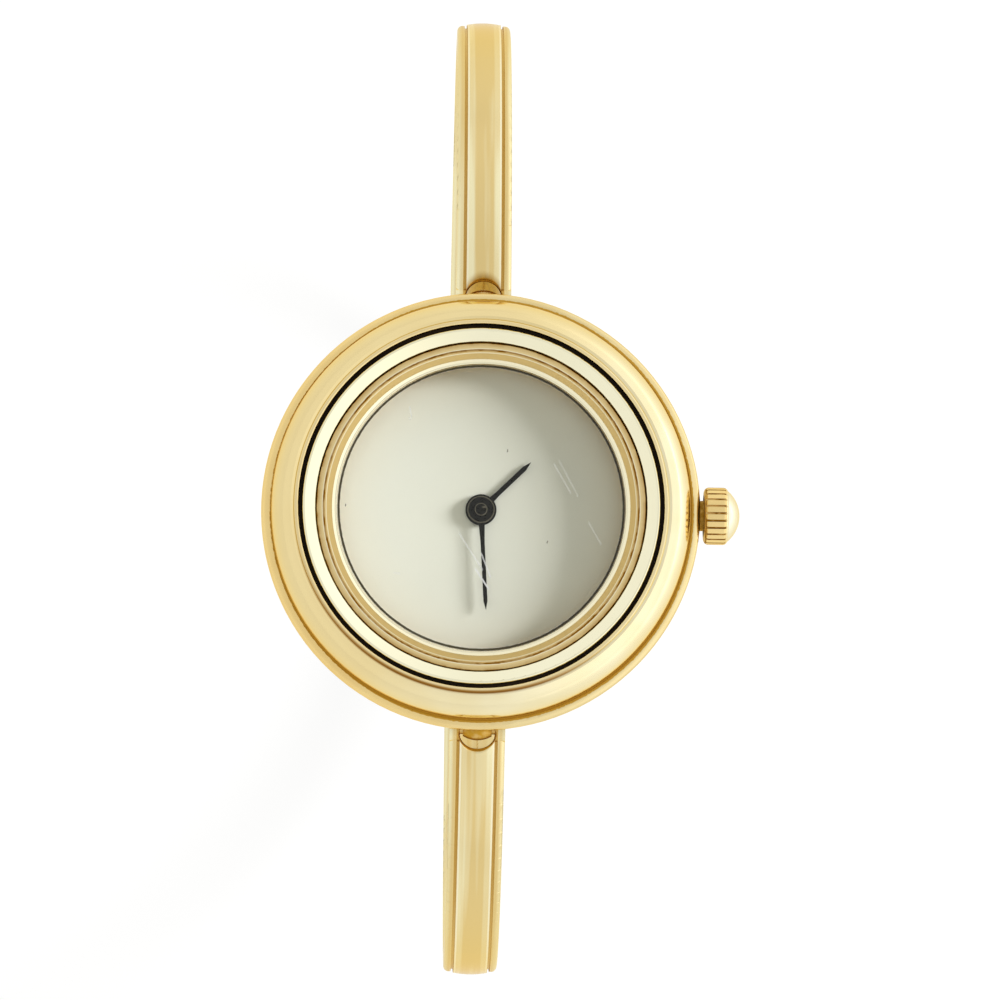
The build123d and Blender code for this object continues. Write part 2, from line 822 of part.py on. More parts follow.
def arm_line():
    """The arm's centre line in (reach, height): shoulder, side and heel arcs, each tangent."""
    heading = radians(-leaving_angle)
    way = (cos(heading), sin(heading))
    shoulder = JernArc((hinge_reach, hinge_height), way, shoulder_bend, -shoulder_sweep_angle)
    side = JernArc(shoulder @ 1, shoulder % 1, side_bend, -side_sweep_angle)
    heel = JernArc(side @ 1, side % 1, heel_bend, -heel_sweep_angle)
    return shoulder + side + heel


def swept(line, outer_up):
    """The arm's section carried along a line drawn in (reach, height), its outer face up or down."""
    path = Plane.YZ * line
    plane = Plane(origin=path @ 0, x_dir=(1, 0, 0), z_dir=path % 0)
    face = arm_section()
    if (plane.y_dir.Z > 0) != outer_up:
        face = Rot(0, 0, 180) * face
    return sweep(plane * face, path=path)


line = arm_line()
heel_end = line @ 1
heel_heading = line % 1


def fork_gap(reach, height, heading, width, depth):
    """The block that opens a fork: it runs from past the eye back into the arm by its depth."""
    half = width / 2
    long_end = eye_radius + overrun
    tall = arm_thickness + overrun
    block = slab((-half, half), (-depth, long_end), (-tall, tall))
    return Pos(0, reach, height) * Rot(degrees(atan2(heading.Y, heading.X)), 0, 0) * block


def scoop():
    """What is cut from an arm for its knuckle: a socket that flares out at the panel, open to the case."""
    socket = ball_radius + ball_clearance
    top = arm_thickness / 2 - panel_edge_drop + panel_crown_height
    foot = top - scoop_round
    tall = 2 * arm_thickness
    wall = Polyline([(socket, foot), (socket, -tall), (0, -tall), (0, tall), (socket + scoop_round, tall),
                     (socket + scoop_round, top)])
    flare = RadiusArc((socket, foot), (socket + scoop_round, top), scoop_round)
    cutter = revolve(Plane.XZ * make_face(wall + flare), axis=Axis.Z)
    return cutter + slab((-socket, socket), (-eye_radius - overrun, 0), (-arm_thickness, arm_thickness))


def bangle_arm():
    """One arm as it leaves the 12 o'clock hinge: swept bar, an eye and a fork at each end."""
    arm = swept(line, True)
    arm = arm + cross_pin(eye_radius, arm_width, hinge_reach, hinge_height)
    arm = arm + cross_pin(eye_radius, arm_width, heel_end.X, heel_end.Y)
    arm = arm - Pos(0, hinge_reach, hinge_height) * Rot(-leaving_angle, 0, 0) * scoop()
    arm = arm - fork_gap(heel_end.X, heel_end.Y, heel_heading, clasp_fork_width, clasp_fork_depth)
    return arm - cross_pin(pin_radius, arm_width + overrun, hinge_reach, hinge_height)


def leaned(piece, side):
    """A piece of the 12 o'clock arm put on its own side and rocked about its hinge."""
    placed = piece if side > 0 else mirror(piece, Plane.XZ)
    pivot = Pos(0, side * hinge_reach, hinge_height)
    return pivot * Rot(rock_angle, 0, 0) * Pos(0, -side * hinge_reach, -hinge_height) * placed


def leaned_point(reach, height, side):
    """Where a point of the 12 o'clock arm lies once it is on its own side and rocked."""
    along = side * (reach - hinge_reach)
    up = height - hinge_height
    turn = radians(rock_angle)
    return (side * hinge_reach + along * cos(turn) - up * sin(turn),
            hinge_height + along * sin(turn) + up * cos(turn))


link_pin = leaned_point(heel_end.X, heel_end.Y, -1)
catch_spot = leaned_point(heel_end.X, heel_end.Y, 1)
link_length = hypot(catch_spot[0] - link_pin[0], catch_spot[1] - link_pin[1])
link_tilt = degrees(atan2(catch_spot[1] - link_pin[1], catch_spot[0] - link_pin[0]))


def hinge_pin(side):
    pin = cross_pin(pin_radius, arm_width - 2 * pin_inset, hinge_reach, hinge_height)
    return leaned(pin, side)


def upper_arm():
    bore = cross_pin(bar_radius, arm_width + overrun, heel_end.X, heel_end.Y)
    return leaned(bangle_arm() - bore, 1)


def lower_arm():
    bore = cross_pin(pin_radius, arm_width + overrun, heel_end.X, heel_end.Y)
    return leaned(bangle_arm() - bore, -1)


def on_link(piece):
    """A piece drawn along the link, from its pin towards the catch, put in its place."""
    return Pos(0, link_pin[0], link_pin[1]) * Rot(link_tilt, 0, 0) * piece


def clasp_link():
    """The clasp: a curved plate with a knuckle at its pin and a hook over the catch bar.

    It is drawn with its pin at the start, the catch bar link_length along Y, the wrist above.
    """
    half_turn = degrees(link_length / (2 * link_bend))
    start_way = (cos(radians(half_turn)), -sin(radians(half_turn)))
    bow = JernArc((0, 0), start_way, link_bend, 2 * half_turn)
    plate = swept(bow, False)
    plate = plate + cross_pin(eye_radius, tongue_width, 0, 0)
    wide = arm_width / 2 + overrun
    narrow = tongue_width / 2
    tall = arm_thickness + overrun
    for side in (1, -1):
        cheek = sorted((side * narrow, side * wide))
        plate = plate - slab(cheek, (-overrun - eye_radius, link_shoulder), (-tall, tall))
        far_end = (link_length - link_shoulder_far, link_length + tall)
        plate = plate - slab(cheek, far_end, (-tall, tall))
    front = link_length + bar_radius + hook_front_gap
    back = link_length - bar_radius - hook_back_gap
    roof = bar_radius + hook_roof_gap
    nose = outline([
        (back - hook_root, 0, 0),
        (front + hook_lip, 0, 0),
        (front + hook_lip, -hook_height, hook_round),
        (back - hook_root, -hook_height, hook_round),
    ])
    hook = Pos(-narrow, 0, 0) * extrude(Plane.YZ * nose, tongue_width)
    plate = plate + hook
    room = slab((-wide, wide), (back, front), (-roof, tall))
    above = slab((-wide, wide), (back, front + tall), (0, tall))
    return on_link(plate - room - above - cross_pin(pin_radius + running_fit, arm_width, 0, 0))


def clasp_pin():
    return cross_pin(pin_radius, arm_width - 2 * pin_inset, *link_pin)


def catch_bar():
    return cross_pin(bar_radius, arm_width - 2 * pin_inset, *catch_spot)


pieces = {
    "case_body": case_body,
    "caseback": caseback,
    "caseback_gasket": caseback_gasket,
    "bezel_ring": bezel_ring,
    "retaining_ring": retaining_ring,
    "bezel_seal": bezel_seal,
    "crystal_ring": crystal_ring,
    "crystal": crystal,
    "crystal_gasket": crystal_gasket,
    "dial": dial,
    "hour_hand": hour_hand,
    "minute_hand": minute_hand,
    "cannon_pinion": cannon_pinion,
    "hour_wheel": hour_wheel,
    "minute_wheel": minute_wheel,
    "main_plate": main_plate,
    "movement_ring": movement_ring,
    "battery": battery,
    "battery_clamp": battery_clamp,
    "coil_core": coil_core,
    "coil": coil,
    "circuit_board": circuit_board,
    "quartz_crystal": quartz_crystal,
    "movement_screws": movement_screws,
    "crown_tube": crown_tube,
    "stem": stem,
    "crown": crown,
    "crown_gasket": crown_gasket,
    "setting_lever": setting_lever,
    "clutch_wheel": clutch_wheel,
    "upper_arm": upper_arm,
    "lower_arm": lower_arm,
    "upper_hinge_pin": lambda: hinge_pin(1),
    "lower_hinge_pin": lambda: hinge_pin(-1),
    "clasp_link": clasp_link,
    "clasp_pin": clasp_pin,
    "catch_bar": catch_bar,
}

os.makedirs("parts", exist_ok=True)
for name, make in pieces.items():
    export_step(make(), f"parts/{name}.step")

print("hinges (reach, height)", hinge_reach, hinge_height)
print("clasp pin", link_pin, "catch bar", catch_spot, "link length", link_length)
print("minute wheel", minute_wheel_spot, "stem height", stem_height)
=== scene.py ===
"""A gold-plated bangle watch, dressed piece by piece in the order in which it is put together.

Patterns and finishes are laid out in millimetres from the watch's axis, as the solids are.
"""
from math import cos, radians, sin

import bpy
from mathutils import Matrix, Vector


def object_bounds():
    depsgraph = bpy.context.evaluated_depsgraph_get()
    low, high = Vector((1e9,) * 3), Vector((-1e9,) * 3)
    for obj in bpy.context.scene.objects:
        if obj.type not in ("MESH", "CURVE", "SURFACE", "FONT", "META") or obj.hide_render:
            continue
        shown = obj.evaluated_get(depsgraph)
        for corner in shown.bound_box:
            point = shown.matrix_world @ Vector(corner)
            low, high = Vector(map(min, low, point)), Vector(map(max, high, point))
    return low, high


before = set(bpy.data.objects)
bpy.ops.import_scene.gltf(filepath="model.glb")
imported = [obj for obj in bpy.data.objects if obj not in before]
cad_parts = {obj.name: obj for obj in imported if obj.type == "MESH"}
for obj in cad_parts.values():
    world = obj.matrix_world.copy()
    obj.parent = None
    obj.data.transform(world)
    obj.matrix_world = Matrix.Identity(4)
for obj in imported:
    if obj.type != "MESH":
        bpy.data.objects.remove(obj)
cad_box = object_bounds()


# Case body: the flanged case with its neck and two hinge knuckles. Turned from brass bar,
# polished and gold plated. The groove under the wide ring is painted brown, as grime and as the
# shade that falls in it, and both knuckles, the lower one most, are painted with shade.

class Wire:
    """A number, colour or vector on its way through a finish. Sums of wires add Math nodes."""

    def __init__(self, tree, socket=None):
        self.tree = tree
        self.socket = socket

    def node(self, kind, settings=None, sockets=None, output=0):
        """Adds a node, makes its settings, then fills or links its sockets."""
        made = self.tree.nodes.new(kind)
        for name, value in (settings or {}).items():
            if name == "stops":
                stops = made.color_ramp.elements
                while len(stops) < len(value):
                    stops.new(1.0)
                for stop, (place, level) in zip(stops, value):
                    stop.position = place
                    stop.color = (level, level, level, 1.0)
            else:
                setattr(made, name, value)
        for name, value in (sockets or {}).items():
            if isinstance(value, Wire):
                self.tree.links.new(value.socket, made.inputs[name])
            else:
                made.inputs[name].default_value = value
        return Wire(self.tree, made.outputs[output] if made.outputs else None)

    def maths(self, operation, *values):
        return self.node("ShaderNodeMath", {"operation": operation}, dict(enumerate(values)))

    def vector(self, operation, *values, output=0):
        settings = {"operation": operation}
        return self.node("ShaderNodeVectorMath", settings, dict(enumerate(values)), output)

    def __add__(self, other):
        return self.maths("ADD", self, other)

    __radd__ = __add__

    def __sub__(self, other):
        return self.maths("SUBTRACT", self, other)

    def __rsub__(self, other):
        return self.maths("SUBTRACT", other, self)

    def __mul__(self, other):
        return self.maths("MULTIPLY", self, other)

    __rmul__ = __mul__

    def size(self):
        """This number without its sign."""
        return self.maths("ABSOLUTE", self)

    def larger(self, other):
        """The larger of this number and another."""
        return self.maths("MAXIMUM", self, other)

    def held(self, low, high):
        """This number kept between two others."""
        return self.maths("MINIMUM", self.larger(low), high)

    def between(self, low, high):
        """This share, from 0 to 1, as a number between two others."""
        return self * (high - low) + low

    def step(self, low, high):
        """0 below low, 1 above high, and a soft rise between them; low may be the larger."""
        rise = {"interpolation_type": "SMOOTHSTEP"}
        sockets = {"Value": self, "From Min": low, "From Max": high}
        return self.node("ShaderNodeMapRange", rise, sockets)

    def band(self, low, high, soft):
        """1 between low and high, fading to 0 over the soft distance outside them."""
        return self.step(low - soft, low) * self.step(high + soft, high)

    def blended(self, plain, marked):
        """One colour where this wire is 0 and another where it is 1."""
        kind = {"data_type": "RGBA", "clamp_factor": True}
        return self.node("ShaderNodeMix", kind, {0: self, 6: tone(plain), 7: tone(marked)}, 2)

    def part(self, axis):
        """One coordinate of this place: X, Y or Z."""
        return self.node("ShaderNodeSeparateXYZ", None, {"Vector": self}, axis)

    def stretched(self, x, y, z):
        """This place with its axes scaled."""
        return self.vector("MULTIPLY", self, (x, y, z))

    def scaled(self, share):
        """This vector made longer or shorter by a share."""
        sockets = {0: self, "Scale": share}
        return self.node("ShaderNodeVectorMath", {"operation": "SCALE"}, sockets)

    def length(self):
        return self.vector("LENGTH", self, output=1)

    def distance(self, point):
        """How far this place is from a point."""
        return self.vector("DISTANCE", self, point, output=1)

    def radius(self):
        """How far this place is from the watch's axis."""
        return self.stretched(1, 1, 0).length()

    def noise(self, scale, detail=2.0):
        """Cloudy noise from 0 to 1, at so many clouds to the millimetre."""
        sockets = {"Vector": self, "Scale": scale, "Detail": detail}
        return self.node("ShaderNodeTexNoise", None, sockets)

    def streaks(self, stretch, scale, detail=2.0):
        """Noise drawn out along the axes with the smallest stretch."""
        return self.stretched(*stretch).noise(scale, detail)

    def wander(self, scale, width):
        """Noise about 0, for an edge that doesn't run true."""
        return (self.noise(scale) - 0.5) * width

    def patches(self, scale, edge, strength):
        """Patches of soiling and painted shade: how many to the millimetre, how sharp, and how
        weak and strong.
        """
        return self.noise(scale).step(*edge).between(*strength)

    def lathe_lines(self, lines):
        """Noise that changes only with the radius: the fine rings that a lathe tool leaves."""
        sockets = {"W": self.radius() * lines, "Detail": 3.0}
        return self.node("ShaderNodeTexNoise", {"noise_dimensions": "1D"}, sockets)

    def rounded(self, sideways, upright, where):
        """The normals of a small round, where asked. Sideways shows how far they lean."""
        mesh = self.node("ShaderNodeNewGeometry", output="Normal")
        lean = sideways.length()
        rise = lean.maths("SQRT", 1.0 - lean * lean)
        curved = self.vector("ADD", sideways, upright.scaled(rise))
        kind = {"data_type": "VECTOR"}
        return self.node("ShaderNodeMix", kind, {0: where, 4: mesh, 5: curved}, 1)


def tone(colour):
    """A colour as a socket takes it: a wire as it is, three shares with full alpha."""
    return colour if isinstance(colour, Wire) else (*colour, 1.0)


def new_finish(name):
    """A new material and, in millimetres, the place on the piece that its patterns follow."""
    material = bpy.data.materials.new(name)
    material.use_nodes = True
    material.node_tree.nodes.clear()
    metres = Wire(material.node_tree).node("ShaderNodeTexCoord", output="Object")
    return material, metres.scaled(1000.0)


def surfaced(material, place, colour, haze, relief=None, depth=0.0, shape=None, **fixed):
    """Ends a finish: colour, haze (0 is a mirror) and relief, as deep as asked, on the shader.

    The shape is a wire of normals for rounds that are smaller than the mesh can carry.
    """
    sockets = {"Base Color": tone(colour), "Roughness": haze}
    sockets.update({name.replace("_", " "): value for name, value in fixed.items()})
    if relief is not None:
        bump = {"Height": relief, "Distance": depth / 1000}
        if shape is not None:
            bump["Normal"] = shape
        sockets["Normal"] = place.node("ShaderNodeBump", None, bump)
    shader = place.node("ShaderNodeBsdfPrincipled", None, sockets)
    place.node("ShaderNodeOutputMaterial", None, {"Surface": shader})
    return material


def dress(material, *names):
    """Gives pieces their finish."""
    for name in names:
        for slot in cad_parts[name].material_slots:
            slot.material = material


gold_light = (0.87, 0.70, 0.36)
gold_deep = (0.80, 0.61, 0.27)
gold_edge = (1.0, 0.86, 0.55, 1.0)
# Browns for dirt with painted shade in grooves and flutes, and for painted shade alone on the
# tube, knuckles and pin
deep_grime_and_shade = (0.34, 0.15, 0.008)
warm_grime_and_shade = (0.58, 0.31, 0.02)
handling_clouds = (0.35, 3.0)
cloud_haze = 0.05
upright_hairlines = ((9, 0.6, 0.6), 2.0)
level_hairlines = ((0.5, 8, 0.5), 2.2)
hairline_edge = (0.22, 0.42)
hairline_haze = 0.10
hairline_depth = 0.0012
grime_and_shade_haze = 0.30


def gold(name, haze, wear=0.5, light=gold_light, deep=gold_deep, grime_and_shade_mask=None, grime_and_shade_colour=deep_grime_and_shade,
         shape=None):
    """Gold plate: cloudy handling marks, hairlines both ways, and brown where the mask asks, as
    soiling and painted shade.

    The colours light, deep and grime_and_shade_colour may follow the place; grime_and_shade_mask
    and shape always do.
    """
    material, place = new_finish(name)
    light, deep, grime_and_shade_colour = (shade(place) if callable(shade) else shade
                         for shade in (light, deep, grime_and_shade_colour))
    clouds = place.noise(*handling_clouds)
    hairlines = place.streaks(*upright_hairlines) * place.streaks(*level_hairlines)
    colour = clouds.blended(light, deep)
    haze = haze + clouds * cloud_haze + hairlines.step(*hairline_edge) * hairline_haze * wear
    if grime_and_shade_mask:
        grime_and_shade = grime_and_shade_mask(place)
        colour = grime_and_shade.blended(colour, grime_and_shade_colour)
        haze = haze + grime_and_shade * grime_and_shade_haze
    return surfaced(material, place, colour, haze, hairlines, hairline_depth * wear,
                    shape and shape(place), Metallic=1.0, Specular_Tint=gold_edge)


def fading(axis, reach, start, end):
    """A colour that goes from one to another along an axis, over a reach."""

    def colour_at(place):
        return place.part(axis).step(*reach).blended(start, end)

    return colour_at


# The rim is warmer away from the crown and paler beside it: painted light on the crown's side,
# where the light falls
rim_turn = (-8.0, 6.0)
rim_light = fading("X", rim_turn, (0.97, 0.76, 0.34), (0.88, 0.76, 0.43))
rim_deep = fading("X", rim_turn, (0.88, 0.61, 0.22), (0.78, 0.59, 0.26))

groove_lip = (12.53, 12.49)
groove_floor = (3.0, 3.2)
groove_strength = 0.92
edge_noise = 5.0
lip_raggedness = 0.12
lower_right_share = 0.055
lower_right_creep = 0.05
upper_half = (0.0, 12.0)
upper_creep = 0.07
left_side = (-3.0, -9.0)
left_retreat = 0.06
upper_hinge = (0, 12.8, 1.1)
lower_hinge = (0, -12.8, 1.1)
upper_knuckle_reach = (1.0, 0.9)
upper_knuckle_strength = 0.3
lower_knuckle_reach = (1.40, 1.25)
lower_knuckle_strength = 0.95
knuckle_patches = (2.0, (0.3, 0.6), (0.6, 1.0))


def lower_right(place):
    """From -1 at the upper left of the watch to 1 at its lower right."""
    return (place.part("X") - place.part("Y")) * lower_right_share


def groove_grime_and_shade(place):
    """Soiling and painted shade in the groove, furthest out at the upper and lower right, and
    painted shade on the knuckles.
    """
    ragged = place.radius() - place.noise(edge_noise) * lip_raggedness
    ragged = ragged - lower_right(place) * lower_right_creep
    ragged = ragged - place.part("Y").step(*upper_half) * upper_creep
    ragged = ragged + place.part("X").step(*left_side) * left_retreat
    groove = ragged.step(*groove_lip) * place.part("Z").step(*groove_floor) * groove_strength
    upper = place.distance(upper_hinge).step(*upper_knuckle_reach) * upper_knuckle_strength
    lower = place.distance(lower_hinge).step(*lower_knuckle_reach) * lower_knuckle_strength
    return groove.larger((upper + lower) * place.patches(*knuckle_patches))


dress(gold("case_gold", 0.16, light=rim_light, deep=rim_deep, grime_and_shade_mask=groove_grime_and_shade,
           grime_and_shade_colour=warm_grime_and_shade), "case_body")


# Caseback: a shallow cup pressed into the case from below, turned in circles and plated, with
# a notch for the case knife. Its black gasket sits on the cup's wall inside the case.

turning_lines = 14.0
turning_depth = 0.004
turned_haze = (0.22, 0.34)
back_rubs = ((1.2, 0.3, 1.0), 1.5, 3.0)
rub_edge = (0.55, 0.7)
rub_haze = 0.1
rubber_black = (0.005, 0.002, 0.001)
rubber_bloom = (0.012, 0.007, 0.003)
bloom_clouds = 5.0
bloom_depth = 0.01
rubber_haze = (0.60, 0.80)


def turned_gold(name):
    """Gold plate over the rings that the lathe tool left, rubbed here and there."""
    material, place = new_finish(name)
    lines = place.lathe_lines(turning_lines)
    rubs = place.streaks(*back_rubs).step(*rub_edge)
    colour = lines.blended(gold_light, gold_deep)
    haze = lines.between(*turned_haze) + rubs * rub_haze
    return surfaced(material, place, colour, haze, lines, turning_depth, Metallic=1.0)


def rubber(name):
    """Black rubber with the dull bloom of age."""
    material, place = new_finish(name)
    bloom = place.noise(bloom_clouds)
    colour = bloom.blended(rubber_black, rubber_bloom)
    haze = bloom.between(*rubber_haze)
    return surfaced(material, place, colour, haze, bloom, bloom_depth, Specular_IOR_Level=0.12)


dress(turned_gold("back_gold"), "caseback")
seal_rubber = rubber("seal_rubber")
dress(seal_rubber, "caseback_gasket")


# Movement: a brass main plate in a moulded centring ring, with a button cell, coil on its
# iron core, board, quartz can and screws. It sits out of sight under the dial.

metal_grain = ((6, 1, 1), 3.0)
grain_haze = 0.15
grain_depth = 0.003
flow_clouds = 2.0
flow_depth = 0.01
moulded_haze = (0.40, 0.55)


def metal(name, light, dark, haze):
    """Bare metal with a fine grain along it."""
    material, place = new_finish(name)
    grain = place.streaks(*metal_grain)
    colour = grain.blended(light, dark)
    haze = haze + grain * grain_haze
    return surfaced(material, place, colour, haze, grain, grain_depth, Metallic=1.0)


def plastic(name, light, dark):
    """Moulded plastic with faint flow clouds."""
    material, place = new_finish(name)
    clouds = place.noise(flow_clouds)
    colour = clouds.blended(light, dark)
    return surfaced(material, place, colour, clouds.between(*moulded_haze), clouds, flow_depth)


movement_brass = metal("movement_brass", (0.62, 0.47, 0.22), (0.50, 0.36, 0.15), 0.25)
ground_steel = metal("ground_steel", (0.55, 0.55, 0.55), (0.38, 0.38, 0.39), 0.22)
dress(movement_brass, "main_plate", "hour_wheel", "minute_wheel")
dress(ground_steel, "battery", "battery_clamp", "coil_core", "quartz_crystal",
      "movement_screws", "cannon_pinion", "stem", "setting_lever", "clutch_wheel")
dress(metal("coil_wire", (0.62, 0.25, 0.10), (0.35, 0.12, 0.05), 0.30), "coil")
dress(plastic("moulded_ring", (0.80, 0.80, 0.76), (0.72, 0.72, 0.68)), "movement_ring")
dress(plastic("board_lacquer", (0.03, 0.16, 0.06), (0.02, 0.10, 0.04)), "circuit_board")


# Dial: a lacquered brass disc, satin white and bare, seated in the case's dial window. Its
# lacquer is creamier towards the edge.

dial_white = (0.85, 0.87, 0.79)
dial_cream = (0.88, 0.86, 0.72)
cream_reach = (5.0, 9.0)
cream_from_edge = 0.7
cream_from_clouds = 0.3
age_clouds = 0.25
lacquer_grain = 12.0
lacquer_depth = 0.004
dial_haze = (0.42, 0.50)


def dial_lacquer():
    """White lacquer with a fine grain, creamier towards the edge and in soft clouds."""
    material, place = new_finish("dial_lacquer")
    edge = place.radius().step(*cream_reach)
    grain = place.noise(lacquer_grain)
    cream_share = edge * cream_from_edge + place.noise(age_clouds) * cream_from_clouds
    colour = cream_share.blended(dial_white, dial_cream)
    return surfaced(material, place, colour, grain.between(*dial_haze), grain, lacquer_depth)


dress(dial_lacquer(), "dial")


# Hands: pressed brass sticks in black lacquer on the cannon pinion and the hour tube. Grey
# highlights are painted on the edges of the minute hand's boss and cap, and on the cap's top.

lacquer_black = (0.002, 0.002, 0.001)
lacquer_cloud = (0.006, 0.006, 0.003)
lacquer_clouds = 3.0
highlight_grey = (0.12, 0.11, 0.08)
edge_highlight_share = 0.9
boss_edge = (0.755, 0.800)
cap_edge = (0.330, 0.370)
edge_fade = 0.02
edge_wander = (2.5, 0.05)
cap_highlight_middle = (0.19, 0.26, 0)
cap_highlight_stretch = (1, 2, 0)
cap_highlight_reach = (0.17, 0.07)
hand_haze = (0.30, 0.45)


def hand_lacquer():
    """Black lacquer, with grey highlights painted along two edges and in one spot on top."""
    material, place = new_finish("hand_lacquer")
    clouds = place.noise(lacquer_clouds)
    reach = place.radius() + place.wander(*edge_wander)
    edge_highlights = reach.band(*boss_edge, edge_fade).larger(reach.band(*cap_edge, edge_fade))
    cap_highlight = place.stretched(*cap_highlight_stretch).distance(cap_highlight_middle).step(*cap_highlight_reach)
    lacquer = clouds.blended(lacquer_black, lacquer_cloud)
    colour = (edge_highlights.larger(cap_highlight) * edge_highlight_share).blended(lacquer, highlight_grey)
    return surfaced(material, place, colour, clouds.between(*hand_haze), clouds, lacquer_depth,
                    Specular_IOR_Level=0.07)


dress(hand_lacquer(), "hour_hand", "minute_hand")


# Crystal: slightly domed mineral glass in a clear nylon gasket, with the scratches and specks
# of years of wear, and a dark shadow painted in the seam round its edge.

# Each scratch: its two ends, from the watch's axis, and how plainly it shows
scratches = [
    ((-1.28, -1.52), (0.14, -3.66), 0.5),
    ((-0.30, -3.60), (0.52, -4.80), 0.9),
    ((0.05, -2.70), (0.62, -4.10), 0.6),
    ((4.25, 2.70), (5.28, 0.95), 0.30),
    ((4.55, 2.90), (5.70, 0.80), 0.22),
    ((6.35, -0.75), (7.10, -2.05), 0.25),
    ((-4.30, 5.95), (-4.18, 5.35), 0.5),
    ((-4.35, 5.28), (-4.22, 5.22), 0.5),
    ((-5.10, -3.92), (-4.70, -3.95), 0.4),
]
scratch_width = 0.035
faint_scuffs = ((3.0, 0.5, 1.0), 1.6, 4.0)
scuff_edge = (0.70, 0.76)
scuff_strength = 0.08
glass_top = 5.0
top_speck = (0.39, 8.05)
specks = [(-8.00, 0.06), (1.51, 3.43), (3.93, -1.95)]
speck_size = 0.06
speck_grey = (0.10, 0.09, 0.06)
# The seam's dark line is a painted shadow between the glass and its ring
seam_reach = (8.335, 8.365)
seam_height = (4.77, 4.80)
seam_noise = 4.0
seam_raggedness = 0.04
seam_shadow_colour = (0.022, 0.016, 0.002)
glass_clear = (0.97, 0.98, 0.96)
glass_index = 1.45
glass_haze = (0.04, 0.54)
edge_cover = 0.45
dust_cover = 0.75
seam_cover = 0.97
nylon_light = (0.85, 0.85, 0.80)
nylon_dark = (0.75, 0.75, 0.70)
nylon_haze = (0.2, 0.3)


def scratch(place, start, end):
    """1 on the line between two points of the glass, and 0 a scratch's width beside it."""
    start = Vector((*start, 0))
    along = Vector((*end, 0)) - start
    offset = place.vector("SUBTRACT", place.stretched(1, 1, 0), start)
    share = place.vector("DOT_PRODUCT", offset, along / along.length_squared, output=1)
    sockets = {0: along, "Scale": share.held(0.0, 1.0)}
    nearest = place.node("ShaderNodeVectorMath", {"operation": "SCALE"}, sockets)
    gap = place.vector("SUBTRACT", offset, nearest).length()
    return gap.step(scratch_width, scratch_width / 4)


def glass():
    """See-through where it is clean, covered where it is scratched or dusty, and dark where the
    seam's shadow is painted.
    """
    material, place = new_finish("crystal_glass")
    edge = place.node("ShaderNodeFresnel", None, {"IOR": glass_index})
    marks = place.streaks(*faint_scuffs).step(*scuff_edge) * scuff_strength
    for start, end, strength in scratches:
        marks = marks.larger(scratch(place, start, end) * strength)
    dust = place.distance((*top_speck, glass_top)).step(speck_size * 2, speck_size)
    for speck in specks:
        reach = place.stretched(1, 1, 0).distance((*speck, 0))
        dust = dust.larger(reach.step(speck_size, speck_size / 2))
    seam = (place.radius() + place.noise(seam_noise) * seam_raggedness).step(*seam_reach)
    seam = seam * place.part("Z").step(*seam_height)
    dust_and_seam_shadow = dust.larger(seam)
    colour = dust_and_seam_shadow.blended(glass_clear, seam.blended(speck_grey, seam_shadow_colour))
    haze = marks.larger(dust_and_seam_shadow).between(*glass_haze)
    cover = (edge * edge_cover).larger(marks).larger(dust * dust_cover).larger(seam * seam_cover)
    return surfaced(material, place, colour, haze, Metallic=1.0 - dust_and_seam_shadow, Alpha=cover)


def nylon():
    """Clear nylon, faintly cloudy."""
    material, place = new_finish("clear_nylon")
    clouds = place.noise(flow_clouds)
    colour = clouds.blended(nylon_light, nylon_dark)
    return surfaced(material, place, colour, clouds.between(*nylon_haze))


dress(glass(), "crystal")
dress(nylon(), "crystal_gasket")


# Crystal ring: the stepped ring pressed over the crystal. Its slope is left satin from the
# lathe, the step outside it and the lip inside it are polished, the lip and two thin lines beside
# the groove are painted pale as highlights, and its groove and foot seam hold grime with painted
# shade.

satin_lines = 9.0
satin_grain = 14.0
satin_slope = (8.80, 9.20)
satin_light = (0.76, 0.57, 0.25)
satin_deep = (0.66, 0.47, 0.17)
satin_haze = (0.26, 0.36)
satin_relief = 0.010
grain_share = 0.5
polished_relief_share = 0.1
polished_haze = 0.12
# The lip and two thin lines beside the groove are painted paler as highlights
lip_outer = (8.84, 8.78)
lip_highlight_gold = (0.95, 0.88, 0.62)
fine_groove = (9.225, 9.325)
foot_seam = (9.62, 9.66)
foot_shade = (9.40, 9.62)
foot_shade_strength = 0.45
seam_wander = (4.0, 0.07)
seam_patches = (1.2, (0.4, 0.6), (0.6, 1.0))
highlight_edges = [(9.11, 9.15), (9.34, 9.38)]
edge_highlight_strength = 0.8
line_fade = 0.012


def satin_gold():
    """Gold left matt on the slope, with a polish beside it, painted highlights on the lip and two
    thin lines, and soiling with painted shade in the groove and seam.
    """
    material, place = new_finish("satin_gold")
    lines = place.lathe_lines(satin_lines)
    grain = place.noise(satin_grain)
    reach = place.radius()
    satin = reach.band(*satin_slope, edge_fade)
    polished_and_highlit = reach.step(*lip_outer).blended(lines.blended(gold_light, gold_deep), lip_highlight_gold)
    matt = lines.blended(satin_light, satin_deep)
    ragged = reach + place.wander(*seam_wander)
    seams = ragged.band(*fine_groove, line_fade).larger(ragged.step(*foot_seam))
    seams = seams.larger(reach.step(*foot_shade) * foot_shade_strength)
    grime_and_shade = seams * place.patches(*seam_patches)
    inner, outer = (reach.band(*edge, line_fade) for edge in highlight_edges)
    edge_highlights = inner.larger(outer) * edge_highlight_strength
    bare = edge_highlights.blended(satin.blended(polished_and_highlit, matt), lip_highlight_gold)
    colour = grime_and_shade.blended(bare, deep_grime_and_shade)
    haze = polished_haze + satin * grain.between(*satin_haze) + grime_and_shade * grime_and_shade_haze
    relief = (lines + grain * grain_share) * satin.between(polished_relief_share, 1.0)
    return surfaced(material, place, colour, haze, relief, satin_relief,
                    Metallic=1.0, Specular_Tint=gold_edge)


dress(satin_gold(), "crystal_ring")


